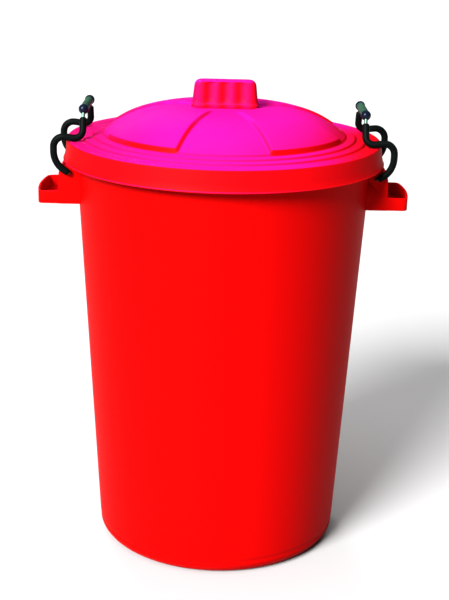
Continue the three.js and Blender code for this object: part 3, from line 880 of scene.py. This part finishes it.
class WASTECAN_OT_clips(bpy.types.Operator):
    """Build the two wire clips with their sleeves and collars"""

    bl_idname = "wastecan.clips"
    bl_label = "Wire clips"

    def execute(self, context):
        sizes = context.scene.waste_clip
        tints = context.scene.waste_finish
        wire_finish = zinc_wire(tints.zinc)
        sleeve_finish = black_plastic("black_sleeve", tints.sleeve_black, 0.42, 700.0, 0.018)
        bar_finish = black_plastic("black_bar_sleeve", tints.bar_black_and_sheen, 0.3, 900.0, 0.1)
        collar_finish = black_plastic("gloss_black_plastic", tints.collar_blue, 0.16, 500.0, 0.1)
        collar_shift, gap = 0.0014, 0.0003
        wire_rounding, sleeve_rounding = 0.001, 0.0022
        for name, side in SIDES.items():
            body = f"{name}_clip"
            rear = leg_corners(sizes, side, 1)
            points = bent_wire([*leg_corners(sizes, side, -1), *reversed(rear)])
            whole = distances(points)[-1]

            def add(part, bm, finish):
                node = f"{body}_{part}"
                make_piece(f"{node}_piece", bm, finish, body, [node], ROUND)

            bm = tube("wire", stretch(points, 0, whole), sizes.wire, wire_rounding)
            add("wire", bm, wire_finish)
            half = sizes.bar / 2 - collar_shift - sizes.collar - gap
            bm = bmesh.new()
            centre = (side * sizes.upright_x, 0, sizes.bar_z)
            spin(bm, bar_profile(sizes, half), 40, (0, 1, 0), centre)
            add("bar_sleeve", bm, bar_finish)
            start = sizes.stub + 0.0005
            stop = (whole - sizes.bar) / 2 - sizes.collar - sizes.bare
            for place, end in ENDS.items():
                span = (start, stop) if end < 0 else (whole - stop, whole - start)
                bm = tube("sleeve", stretch(points, *span), sizes.sleeve, sleeve_rounding)
                add(f"{place}_sleeve", bm, sleeve_finish)
                along = (whole + end * sizes.bar) / 2 - end * collar_shift
                ball = point_at(points, distances(points), along)
                bm = bmesh.new()
                spin(bm, collar_profile(sizes.collar), 40, (0, 1, 0), ball)
                add(f"{place}_collar", bm, collar_finish)
        return {"FINISHED"}


# ---- Stage -----------------------------------------------------------------------------------


def soft_sun(name, towards, power, spread, gloss=True):
    """A sun lamp in the direction given, as broad in the sky as the spread in degrees."""
    data = bpy.data.lights.new(name, "SUN")
    data.energy, data.angle = power, math.radians(spread)
    light = bpy.data.objects.new(name, data)
    bpy.context.scene.collection.objects.link(light)
    light.rotation_euler = Vector(towards).to_track_quat("Z", "Y").to_euler()
    light.visible_glossy = gloss


class WASTECAN_OT_stage(bpy.types.Operator):
    """Set the floor, the lights and the camera"""

    bl_idname = "wastecan.stage"
    bl_label = "Floor, lights and camera"

    def execute(self, context):
        scene, stage = context.scene, context.scene.waste_stage
        bm = bmesh.new()
        bmesh.ops.create_grid(bm, x_segments=2, y_segments=2, size=stage.floor_size / 2)
        mesh = bpy.data.meshes.new("floor")
        bm.to_mesh(mesh)
        bm.free()
        floor = bpy.data.objects.new("floor", mesh)
        scene.collection.objects.link(floor)
        finish = Finish("pale_floor")
        finish.principled(base_color=rgba(stage.floor_tone), roughness=0.9)
        mesh.materials.append(finish.material)
        world = bpy.data.worlds.new("studio")
        world.use_nodes = True
        sky = world.node_tree.nodes["Background"].inputs
        sky["Color"].default_value = (1.0, 1.0, 1.0, 1.0)
        sky["Strength"].default_value = stage.world
        scene.world = world
        soft_sun("key", (-0.49, -0.7, 0.53), stage.key_power, 26)
        soft_sun("top", (-0.1, 0.0, 1.0), stage.top_power, 60, False)
        soft_sun("back", (-0.25, 0.9, 0.35), stage.back_power, 20, False)
        data = bpy.data.cameras.new("camera")
        data.lens = stage.focal_length
        data.sensor_width = 36.0
        data.clip_end = 100.0
        camera = bpy.data.objects.new("camera", data)
        scene.collection.objects.link(camera)
        turn = Matrix.Rotation(-stage.camera_yaw, 4, "Z")
        tilt = Matrix.Rotation(math.pi / 2 - stage.camera_pitch, 4, "X")
        roll = Matrix.Rotation(stage.camera_roll, 4, "Z")
        place = Matrix.Translation((0, -stage.camera_distance, stage.camera_height))
        camera.matrix_world = place @ turn @ tilt @ roll
        scene.camera = camera
        scene.view_settings.view_transform = "Standard"
        return {"FINISHED"}


class WASTECAN_PT_panel(bpy.types.Panel):
    """Lists the waste can's pieces"""

    bl_idname = "WASTECAN_PT_panel"
    bl_label = "Waste Can"
    bl_space_type = "VIEW_3D"
    bl_region_type = "UI"
    bl_category = "Waste Can"

    def draw(self, context):
        for operator in OPERATORS:
            self.layout.operator(operator.bl_idname)
        for group in SETTINGS:
            box = self.layout.box()
            settings = getattr(context.scene, group)
            for name in settings.__annotations__:
                box.prop(settings, name)


SETTINGS = {
    "waste_can": CanSettings,
    "waste_lid": LidSettings,
    "waste_clip": ClipSettings,
    "waste_finish": FinishSettings,
    "waste_stage": StageSettings,
}
OPERATORS = [WASTECAN_OT_can, WASTECAN_OT_lid, WASTECAN_OT_clips, WASTECAN_OT_stage]


def register():
    for each in [*SETTINGS.values(), *OPERATORS, WASTECAN_PT_panel]:
        bpy.utils.register_class(each)
    for name, group in SETTINGS.items():
        setattr(bpy.types.Scene, name, PointerProperty(type=group))


def unregister():
    for name in SETTINGS:
        delattr(bpy.types.Scene, name)
    for each in reversed([*SETTINGS.values(), *OPERATORS, WASTECAN_PT_panel]):
        bpy.utils.unregister_class(each)


def main():
    register()
    bpy.ops.wastecan.can()
    bpy.ops.wastecan.lid()
    bpy.ops.wastecan.clips()
    bpy.ops.wastecan.stage()


if __name__ == "__main__":
    main()
